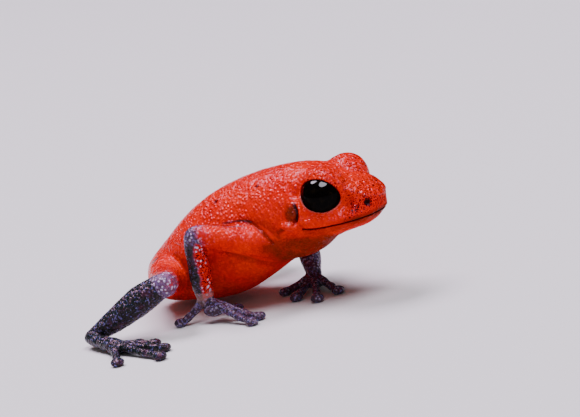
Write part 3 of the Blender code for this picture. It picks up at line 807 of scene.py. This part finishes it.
def mark_head(places, side, wobble, lay):
    """The marks round one side's eye, nostril, eardrum and gland, with painted shade at the lids' edge, in
    the nostril and in the eardrum's groove, and painted highlights on the lower lid and the gland.
    """
    x, y, z = places.T

    def distance(place):
        return np.linalg.norm(places - np.array(on_side(place, side)), axis=1)

    gap, outward, ellipse, above = eye_places(x, y, z, side)
    near = (gap < EYE_RADIUS + 0.5) & (outward > 0)
    # Painted highlight: a pale pinkish line along the lower lid's edge, like a wet rim catching light
    lay("pink", 0.5, near * smoothstep(1.10, 1.04, ellipse) * smoothstep(0.1, -0.5, above))
    # Painted shade: a blackish rim where the lids' edge meets the eyeball
    lay("dark", 0.8, near * smoothstep(1.06, 1.0, ellipse))
    lay("stipple", 0.35, smoothstep(2.7, 2.1, gap) * smoothstep(-0.2, 0.6, above))
    drum = on_side(EARDRUM, side)
    close = np.abs(y - drum[1]) < 0.8
    from_axis = np.hypot(x - drum[0], (z - drum[2]) * EARDRUM_FLATNESS)
    # Painted shade: a blackish crescent in the deeper front of the eardrum's groove
    crescent = smoothstep(0.17, 0.08, np.abs(from_axis - EARDRUM_RADIUS))
    crescent = crescent * smoothstep(0.1, 0.7, (x - drum[0]) / EARDRUM_RADIUS)
    lay("dark", 1.0, close * crescent)
    brown = smoothstep(EARDRUM_RADIUS * 1.35, EARDRUM_RADIUS * 0.6, from_axis + wobble * 0.3)
    lay("brown", 0.9, close * brown)
    # Painted highlight: a faint pale pinkish tone on the gland's bump
    lay("pink", 0.10, smoothstep(0.5, 0.2, distance(GLAND)))
    # Painted shade: the nostril's pit laid blackish
    lay("dark", 1.0, smoothstep(NOSTRIL_RADIUS + 0.09, NOSTRIL_RADIUS, distance(NOSTRIL)))
    lay("stipple", 0.9, smoothstep(0.75, 0.25, distance(NOSTRIL)))
    lay("stipple", 1.0, smoothstep(0.55, 0.15, distance(SMUDGE)))


def skin_masks(places, normals):
    """Where the skin is blue, blackish, stippled, pinkish, lilac, brown or wet, from 0 to 1 at each point.
    The blackish and brown masks also hold painted shade, the pinkish one painted highlights, and the lilac
    one, besides a tint, painted sheen and glints.
    """
    wobble = lumps(places, 0.7, 3) * 0.18 + lumps(places, 0.25, 4) * 0.10
    masks = {name: np.zeros(len(places)) for name in MASKS}

    def lay(name, strength, values):
        masks[name] = np.maximum(masks[name], strength * values)

    mark_limbs(places, normals, wobble, lay)
    for side in SIDES:
        edge, _ = along_line(places, side_line(ARM_EDGE, side))
        lay("blue", 0.75, smoothstep(0.05, -0.02, edge + wobble * 0.1))
        mark_head(places, side, wobble, lay)
        for crease in CREASES:
            # Painted shade along each crease: brown, with a blackish middle
            fold, _ = along_line(places, side_line(crease, side))
            lay("brown", 0.65, smoothstep(0.16, 0.02, fold + wobble * 0.3))
            lay("dark", 0.25, smoothstep(0.06, -0.02, fold))
    mark_mouth(places, masks, lay)
    back = smoothstep(0.2, 0.8, normals[:, 2]) * (masks["blue"] < 0.5) * (places[:, 2] > 4.0)
    lay("stipple", 0.08, back)
    for place, radius in DARK_SPOTS:
        from_spot = np.linalg.norm(places - np.array(place), axis=1) + wobble * 0.25
        lay("dark", 0.85, smoothstep(radius, radius * 0.5, from_spot))
    upwards = smoothstep(-0.15, 0.50, normals[:, 2])
    masks["wet"] = np.maximum(upwards, WET_LIMBS * masks["blue"])
    return masks


# The masks that the markings are laid on, and the colours of the markings; some markings are painted shade,
# highlights, sheen and glints
MASKS = ("blue", "dark", "stipple", "pink", "lilac", "brown")
BROWN_AND_SHADE, STIPPLE_AND_SHADE, PINK_AND_HIGHLIGHT = (0.085, 0.014, 0.003), (0.008, 0.003, 0.004), (0.62, 0.30, 0.24)
PURPLE, GLINT_LILAC, MAUVE_AND_SHEEN = (0.05, 0.012, 0.03), (0.70, 0.60, 0.85), (0.16, 0.07, 0.14)
IRIS, IRIS_FLECK = (0.0015, 0.001, 0.001), (0.006, 0.004, 0.002)

# Sizes of the noise in metres: the skin's colour, patches, specks, dots and wrinkles, and the iris
BROAD, PATCH, SPECK, DOT, WRINKLE, FLECK = 0.0022, 0.0006, 0.00016, 0.00009, 0.00045, 0.0004
WRINKLE_STRETCH = (1.0, 1.0, 0.4)
GRAIN_SMOOTHNESS = 0.4

# Shader maths

class Value:
    """A shader output on which Python's operators work; each adds a Math node."""

    def __init__(self, shader, socket):
        self.shader = shader
        self.socket = socket

    def maths(self, operation, first, second):
        return self.shader.add("ShaderNodeMath", {"operation": operation}, [first, second])

    def __add__(self, other):
        return self.maths("ADD", self, other)

    def __mul__(self, other):
        return self.maths("MULTIPLY", self, other)

    def __sub__(self, other):
        return self.maths("SUBTRACT", self, other)

    def __rsub__(self, other):
        return self.maths("SUBTRACT", other, self)

    __radd__ = __add__
    __rmul__ = __mul__

    def between(self, low, high):
        """0 below low, 1 above high, and smooth between; low may be the greater."""
        return self.shader.add(
            "ShaderNodeMapRange",
            {"interpolation_type": "SMOOTHSTEP"},
            {"Value": self, "From Min": low, "From Max": high, "To Min": 0.0, "To Max": 1.0},
        )


class Shader:
    """A material whose nodes are added one by one."""

    def __init__(self, name):
        self.material = bpy.data.materials.new(name)
        self.material.use_nodes = True
        self.tree = self.material.node_tree
        self.principled = self.tree.nodes["Principled BSDF"]

    def add(self, kind, settings=None, inputs=(), output=0):
        """Adds a node, sets it, gives its sockets values or links, and returns one output."""
        node = self.tree.nodes.new(kind)
        for name, value in (settings or {}).items():
            setattr(node, name, value)
        pairs = inputs.items() if isinstance(inputs, dict) else enumerate(inputs)
        for key, value in pairs:
            self.feed(node.inputs[key], value)
        return Value(self, node.outputs[output])

    def feed(self, socket, value):
        """Links a socket to a value, or sets it."""
        if isinstance(value, Value):
            self.tree.links.new(value.socket, socket)
        else:
            socket.default_value = value

    def mix(self, first, second, factor):
        """One colour over another."""
        return self.add("ShaderNodeMix", {"data_type": "RGBA"}, {0: factor, 6: first, 7: second}, output=2)

    def cover(self, colour, over, factor):
        """A plain colour laid over another by a factor."""
        return self.mix(colour, (*over, 1.0), factor)

    def mask(self, name):
        """A number stored on the skin's points."""
        return self.add("ShaderNodeAttribute", {"attribute_name": name}, output=2)

    def places(self):
        """Places on the object, in metres."""
        return self.add("ShaderNodeTexCoord", output=3)

    def noise(self, places, size, detail=2.0, roughness=0.5):
        """Noise from 0 to 1 in lumps of that size in metres."""
        inputs = {"Vector": places, "Scale": 1.0 / size, "Detail": detail, "Roughness": roughness}
        return self.add("ShaderNodeTexNoise", {"normalize": True}, inputs)

    def cells(self, places, size):
        """Distance to the nearest of scattered points, about that far apart in metres."""
        inputs = {"Vector": places, "Scale": 1.0 / size, "Smoothness": GRAIN_SMOOTHNESS}
        return self.add("ShaderNodeTexVoronoi", {"feature": "SMOOTH_F1"}, inputs)

    def over_matte(self, factor, values):
        """Lays the shader that is there over a matte one, by a factor."""
        matte = self.add("ShaderNodeBsdfPrincipled", None, values)
        both = self.add("ShaderNodeMixShader", None, [factor, matte, Value(self, self.principled.outputs[0])])
        self.feed(self.tree.nodes["Material Output"].inputs["Surface"], both)

    def finish(self, values):
        """Gives the Principled BSDF its values and links."""
        for name, value in values.items():
            self.feed(self.principled.inputs[name], value)
        return self.material


def skin_material(sizes):
    """Granular skin, glossy where it is wet: orange-red with blackish stipples, and blue-black limbs, with
    painted shade, highlights, sheen and glints laid into the colour.
    """
    shader = Shader("frog_skin")
    places = shader.places()
    blue, dark, stipple, pink, lilac, brown = (shader.mask(name) for name in MASKS)
    broad = shader.noise(places, BROAD)
    patches = shader.noise(places, PATCH, 3.0)
    fine = shader.noise(places, SPECK, 2.0, 0.6)
    dots = shader.noise(places, DOT, 1.0)
    grain = shader.cells(places, sizes.granule)
    # Painted glints: pale lilac on the tops of the granules where the lilac mask is laid
    painted_glint = lilac * (1.0 - (grain + fine * 0.6).between(0.48, 0.72)) * 0.8
    red = shader.mix((*sizes.red, 1.0), (*sizes.orange, 1.0), broad.between(0.35, 0.7))
    red = shader.cover(red, sizes.deep_red, patches.between(0.50, 0.75) * 0.5)
    # Painted shade: deeper red in the low gaps between the granules
    red = shader.cover(red, sizes.deep_red, grain.between(0.30, 0.75) * 0.35)
    # Brown of the lips, throat and eardrums, and painted shade in the creases and round the limbs' roots
    red = shader.cover(red, BROWN_AND_SHADE, brown * (0.8 + 0.2 * patches.between(0.3, 0.6)))
    red = shader.cover(red, STIPPLE_AND_SHADE, (dots + stipple * 0.22).between(0.66, 0.72) * stipple.between(0.0, 0.2))
    red = shader.cover(red, GLINT_LILAC, painted_glint)
    specks = (fine + lilac * 0.12).between(0.56, 0.68)
    limb = shader.mix((*sizes.blue_black, 1.0), (*sizes.lilac, 1.0), specks)
    limb = shader.cover(limb, PURPLE, patches.between(0.50, 0.70) * 0.6)
    # A mauve tone where the lilac mask is: partly the limbs' own tint and partly a painted sheen
    limb = shader.cover(limb, MAUVE_AND_SHEEN, lilac * 0.55)
    limb = shader.cover(limb, GLINT_LILAC, painted_glint)
    colour = shader.mix(red, limb, blue)
    # Painted highlights on the lower lids and the glands, and a pinkish patch at the right wrist
    colour = shader.cover(colour, PINK_AND_HIGHLIGHT, pink * 0.7)
    # Blackish spots, and painted shade in the mouth's groove, the nostrils, at the lids' edges, in the
    # eardrums' grooves and along the creases
    colour = shader.cover(colour, STIPPLE_AND_SHADE, dark * 0.95)
    stretched = shader.add("ShaderNodeVectorMath", {"operation": "MULTIPLY"}, [places, WRINKLE_STRETCH])
    height = (1.0 - grain.between(0.0, 0.62)) + fine * 0.4 + shader.noise(stretched, WRINKLE) * 1.6
    relief_inputs = {"Strength": sizes.granule_strength, "Distance": sizes.granule * 0.65, "Height": height}
    both = {
        "Base Color": colour,
        "Normal": shader.add("ShaderNodeBump", None, relief_inputs),
        "Subsurface Weight": 0.12,
        "Subsurface Radius": (1.0, 0.18, 0.08),
        "Subsurface Scale": 0.0004,
    }
    shader.over_matte(shader.mask("wet"), {"Roughness": 0.6, "Specular IOR Level": 0.03, **both})
    return shader.finish({
        "Roughness": 0.13 + patches * 0.14 + blue * 0.05,
        "Specular IOR Level": 0.40,
        "Specular Tint": (1.0, 0.42, 0.62, 1.0),
        **both,
    })


def eye_material():
    """Almost black all over, under a clear surface that is wet on top."""
    shader = Shader("frog_eye")
    flecks = shader.noise(shader.places(), FLECK, 3.0, 0.6)
    return shader.finish({
        "Base Color": shader.mix((*IRIS, 1.0), (*IRIS_FLECK, 1.0), flecks.between(0.45, 0.8)),
        "Roughness": 0.10,
        "Specular IOR Level": 0.0,
        "Coat Weight": shader.mask("wet"),
        "Coat Roughness": 0.04,
        "Coat IOR": 1.6,
    })


# Building the pieces

def add_object(name, data):
    """A new object in the scene."""
    obj = bpy.data.objects.new(name, data)
    bpy.context.scene.collection.objects.link(obj)
    return obj


def store(obj, name, values):
    """Stores a number on each point of a mesh."""
    attribute = obj.data.attributes.new(name, "FLOAT", "POINT")
    attribute.data.foreach_set("value", np.asarray(values, np.float32))


def mesh_object(name, places, faces):
    """A smooth-shaded object from places in millimetres of the stance frame and four-sided faces."""
    mesh = bpy.data.meshes.new(name)
    corners = np.asarray(faces, np.int32)
    mesh.vertices.add(len(places))
    mesh.vertices.foreach_set("co", ((places + SHIFT) * MM).astype(np.float32).ravel())
    mesh.loops.add(corners.size)
    mesh.loops.foreach_set("vertex_index", corners.ravel())
    mesh.polygons.add(len(corners))
    mesh.polygons.foreach_set("loop_start", np.arange(0, corners.size, corners.shape[1], dtype=np.int32))
    mesh.polygons.foreach_set("use_smooth", np.ones(len(corners), bool))
    mesh.update(calc_edges=True)
    mesh.validate()
    return add_object(name, mesh)


def outward_faces(places, faces):
    """The faces, turned so that they look out of the surface."""
    a, b, c = (places[faces[:, k]] for k in (0, 1, 2))
    volume = np.einsum("ij,ij->i", a, np.cross(b, c)).sum()
    return faces if volume > 0 else faces[:, ::-1]


def point_normals(places, faces):
    """Unit normals at the points."""
    a, b, c, d = (places[faces[:, k]] for k in range(4))
    across = np.cross(c - a, d - b)
    normals = np.zeros_like(places)
    for k in range(4):
        np.add.at(normals, faces[:, k], across)
    return normals / np.maximum(np.linalg.norm(normals, axis=1, keepdims=True), 1e-12)


def colour_setting(name, description, default):
    """A setting that is a colour."""
    return FloatVectorProperty(name=name, description=description, default=default, subtype="COLOR")


def length_setting(name, description, default):
    """A setting in metres."""
    return FloatProperty(name=name, description=description, default=default, unit="LENGTH")


def angle_setting(name, description, degrees):
    """A setting that is an angle."""
    default = math.radians(degrees)
    return FloatProperty(name=name, description=description, default=default, subtype="ANGLE")


class SkinSettings(bpy.types.PropertyGroup):
    """Sizes and colours of the skin."""

    step: length_setting("Mesh Step", "Distance between the skin's points", 0.000068)
    granule: length_setting("Granule", "Width of one skin granule", 0.00025)
    granule_strength: FloatProperty(
        name="Granule Strength", description="How far the granules stand out", default=0.6, min=0.0, max=1.0
    )
    red: colour_setting("Red", "Main colour of the body", (0.74, 0.0045, 0.0006))
    orange: colour_setting("Orange", "Warmer colour of the body", (0.82, 0.020, 0.0008))
    # Deep red is also laid in the gaps between the granules as painted shade
    deep_red: colour_setting("Deep Red", "Darker patches of it", (0.42, 0.002, 0.0005))
    blue_black: colour_setting("Blue-black", "Lower limbs", (0.011, 0.018, 0.016))
    lilac: colour_setting("Lilac", "Specks of the lower limbs", (0.13, 0.12, 0.32))


class EyeSettings(bpy.types.PropertyGroup):
    """Sizes of the eyes."""

    rings: IntProperty(name="Rings", description="Rings of faces from pole to pole", default=48, min=12)
    bulge: length_setting("Cornea", "How far the clear front stands out", 0.00004)


class StageSettings(bpy.types.PropertyGroup):
    """The studio and its camera."""

    azimuth: angle_setting("Azimuth", "Camera's way round the frog", 34.0)
    elevation: angle_setting("Elevation", "How high it stands", 12.0)
    roll: angle_setting("Roll", "How far the picture leans", 12.0)
    distance: length_setting("Distance", "From the camera to the frog", 0.199)
    light: FloatProperty(name="Light", description="Strength of all the lamps", default=0.78, min=0.0)


class FROG_OT_skin(bpy.types.Operator):
    """One skin over the whole frog, with its lids, lips, nostrils and eardrums."""

    bl_idname = "frog.skin"
    bl_label = "Skin"

    def execute(self, context):
        sizes = context.scene.frog_skin
        places, faces = frog_field(sizes.step / MM).surface()
        faces = outward_faces(places, faces)
        places = relief(places, point_normals(places, faces))
        normals = point_normals(places, faces)
        skin = mesh_object("skin", places, faces)
        for name, values in skin_masks(places, normals).items():
            store(skin, name, values)
        skin.data.materials.append(skin_material(sizes))
        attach(skin, "root")
        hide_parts(*FLESH)
        return {"FINISHED"}


class FROG_OT_eyes(bpy.types.Operator):
    """Two eyeballs with a slightly raised clear front."""

    bl_idname = "frog.eyes"
    bl_label = "Eyes"

    def execute(self, context):
        material = eye_material()
        for side in SIDES:
            eye = add_eyeball(side, context.scene.frog_eyes)
            eye.data.materials.append(material)
            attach(eye, "root")
            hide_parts("eye_" + side)
        return {"FINISHED"}


def add_eyeball(side, sizes):
    """A ball whose clear front stands out a little, and whose upper part is wet."""
    centre, out, forward, upward = eye_frame(side)
    bulge = sizes.bulge / MM
    tilts = np.linspace(0.0, math.pi, sizes.rings + 1)[1:-1]
    turns = np.linspace(0.0, 2 * math.pi, 2 * sizes.rings, endpoint=False)
    tilt, turn = (angles[..., None] for angles in np.meshgrid(tilts, turns, indexing="ij"))
    radius = EYE_RADIUS + bulge * smoothstep(1.0, 0.0, tilt)
    sideways = np.cos(turn) * forward + np.sin(turn) * upward
    bands = centre + radius * (np.cos(tilt) * out + np.sin(tilt) * sideways)
    places = np.vstack([bands.reshape(-1, 3), centre + (EYE_RADIUS + bulge) * out, centre - EYE_RADIUS * out])
    index = np.arange(len(tilts) * len(turns)).reshape(len(tilts), len(turns))
    beside = np.roll(index, -1, axis=1)
    front, back = index.size, index.size + 1
    faces = np.stack([index[:-1], index[1:], beside[1:], beside[:-1]], axis=-1).reshape(-1, 4).tolist()
    faces += [(front, a, b) for a, b in zip(index[0].tolist(), beside[0].tolist())]
    faces += [(back, b, a) for a, b in zip(index[-1].tolist(), beside[-1].tolist())]
    mesh = bpy.data.meshes.new("eyeball_" + side)
    mesh.from_pydata(((places + SHIFT) * MM).tolist(), [], faces)
    if np.cross(forward, upward) @ out < 0:
        mesh.flip_normals()
    mesh.shade_smooth()
    mesh.update()
    eye = add_object(mesh.name, mesh)
    height = (places - centre)[:, 2] / EYE_RADIUS
    store(eye, "wet", DRY_EYE + WET_EYE * smoothstep(0.1, 0.5, height))
    return eye


# The coat's weight low on the eyes, and how much it grows to their top
DRY_EYE, WET_EYE = 0.03, 0.60

# The camera's framing: the picture's size and scale, and where the floor under the right wrist is in it
PICTURE_WIDTH, PICTURE_HEIGHT = 580, 417
PIXELS_PER_MM = 14.6
WRIST_FLOOR = (0.0, -4.6, 0.0)
WRIST_PIXEL = (203.0, 320.0)
# That scale holds this many millimetres behind the point that the camera looks at
SCALE_BEHIND = 1.0
SENSOR = 36.0
CLIP_NEAR, CLIP_FAR = 0.002, 20.0

FLOOR_HALF, FLOOR_COLOUR, FLOOR_ROUGHNESS = 3.0, (0.70, 0.70, 0.685), 0.7
WORLD_COLOUR, WORLD_STRENGTH = (0.86, 0.90, 0.95), 0.22

# The lamps: place and size in metres, power in watts, colour, and whether they show in reflections
LAMPS = {
    "sky": ((-0.274, 0.077, 0.546), (0.34, 0.30), 6.4, (0.94, 0.80, 1.0), True),
    "key": ((0.198, -0.067, 0.554), (0.42, 0.32), 5.4, (0.91, 0.86, 1.0), True),
    "fill": ((0.40, -1.20, 0.48), (1.20, 1.20), 1.9, (1.0, 0.94, 0.88), False),
}
LAMP_TARGET = (0.0, 0.0, 0.004)


class FROG_OT_stage(bpy.types.Operator):
    """Pale floor, soft lights and the camera."""

    bl_idname = "frog.stage"
    bl_label = "Stage"

    def execute(self, context):
        sizes = context.scene.frog_stage
        add_floor()
        add_lights(sizes.light)
        add_camera(context.scene, sizes)
        return {"FINISHED"}


def add_floor():
    """A wide pale floor."""
    mesh = bpy.data.meshes.new("floor")
    corners = ((-1, -1), (1, -1), (1, 1), (-1, 1))
    mesh.from_pydata([(x * FLOOR_HALF, y * FLOOR_HALF, 0.0) for x, y in corners], [], [(0, 1, 2, 3)])
    floor = add_object("floor", mesh)
    shader = Shader("floor")
    mesh.materials.append(shader.finish({"Base Color": (*FLOOR_COLOUR, 1.0), "Roughness": FLOOR_ROUGHNESS}))


def add_lights(strength):
    """A faint pale world, two broad lamps overhead and a fill lamp in front."""
    world = bpy.data.worlds.new("studio")
    world.use_nodes = True
    background = world.node_tree.nodes["Background"]
    background.inputs["Color"].default_value = (*WORLD_COLOUR, 1.0)
    background.inputs["Strength"].default_value = WORLD_STRENGTH * strength
    world.cycles_visibility.glossy = False
    bpy.context.scene.world = world
    for name, (place, size, power, colour, glossy) in LAMPS.items():
        lamp = bpy.data.lights.new(name, "AREA")
        lamp.shape = "ELLIPSE"
        lamp.size, lamp.size_y = size
        lamp.energy = power * strength
        lamp.color = colour
        obj = add_object(name, lamp)
        obj.location = place
        obj.visible_glossy = glossy
        obj.rotation_mode = "QUATERNION"
        obj.rotation_quaternion = (Vector(LAMP_TARGET) - Vector(place)).to_track_quat("-Z", "Y")


def add_camera(scene, sizes):
    """The camera at the photograph's angle, with the photograph's framing."""
    a, e, roll = sizes.azimuth, sizes.elevation, sizes.roll
    back = Vector((math.sin(a) * math.cos(e), -math.cos(a) * math.cos(e), math.sin(e)))
    right = Vector((math.cos(a), math.sin(a), 0.0))
    up = back.cross(right)
    across = right * math.cos(roll) - up * math.sin(roll)
    upright = right * math.sin(roll) + up * math.cos(roll)
    sideways = (PICTURE_WIDTH / 2 - WRIST_PIXEL[0]) / PIXELS_PER_MM
    upwards = (WRIST_PIXEL[1] - PICTURE_HEIGHT / 2) / PIXELS_PER_MM
    wrist = Vector((Vector(WRIST_FLOOR) + Vector(SHIFT)) * MM)
    target = wrist + (across * sideways + upright * upwards) * MM
    camera = bpy.data.cameras.new("camera")
    camera.sensor_width = SENSOR
    camera.lens = SENSOR * (sizes.distance / MM + SCALE_BEHIND) * PIXELS_PER_MM / PICTURE_WIDTH
    camera.clip_start, camera.clip_end = CLIP_NEAR, CLIP_FAR
    obj = add_object("camera", camera)
    axes = Matrix((across, upright, back)).transposed().to_4x4()
    obj.matrix_world = Matrix.Translation(target + back * sizes.distance) @ axes
    scene.camera = obj


class FROG_PT_panel(bpy.types.Panel):
    """The frog's settings and buttons."""

    bl_label = "Strawberry Frog"
    bl_space_type = "VIEW_3D"
    bl_region_type = "UI"
    bl_category = "Frog"

    def draw(self, context):
        groups = (
            (context.scene.frog_skin, FROG_OT_skin),
            (context.scene.frog_eyes, FROG_OT_eyes),
            (context.scene.frog_stage, FROG_OT_stage),
        )
        for settings, operator in groups:
            box = self.layout.box()
            for name in type(settings).__annotations__:
                box.prop(settings, name)
            box.operator(operator.bl_idname)


SETTINGS = {"frog_skin": SkinSettings, "frog_eyes": EyeSettings, "frog_stage": StageSettings}
CLASSES = (*SETTINGS.values(), FROG_OT_skin, FROG_OT_eyes, FROG_OT_stage, FROG_PT_panel)


def register():
    for item in CLASSES:
        bpy.utils.register_class(item)
    for name, group in SETTINGS.items():
        setattr(bpy.types.Scene, name, PointerProperty(type=group))


def unregister():
    for name in SETTINGS:
        delattr(bpy.types.Scene, name)
    for item in reversed(CLASSES):
        bpy.utils.unregister_class(item)


def main():
    register()
    bpy.ops.frog.skin()
    bpy.ops.frog.eyes()
    bpy.ops.frog.stage()


if __name__ == "__main__":
    main()
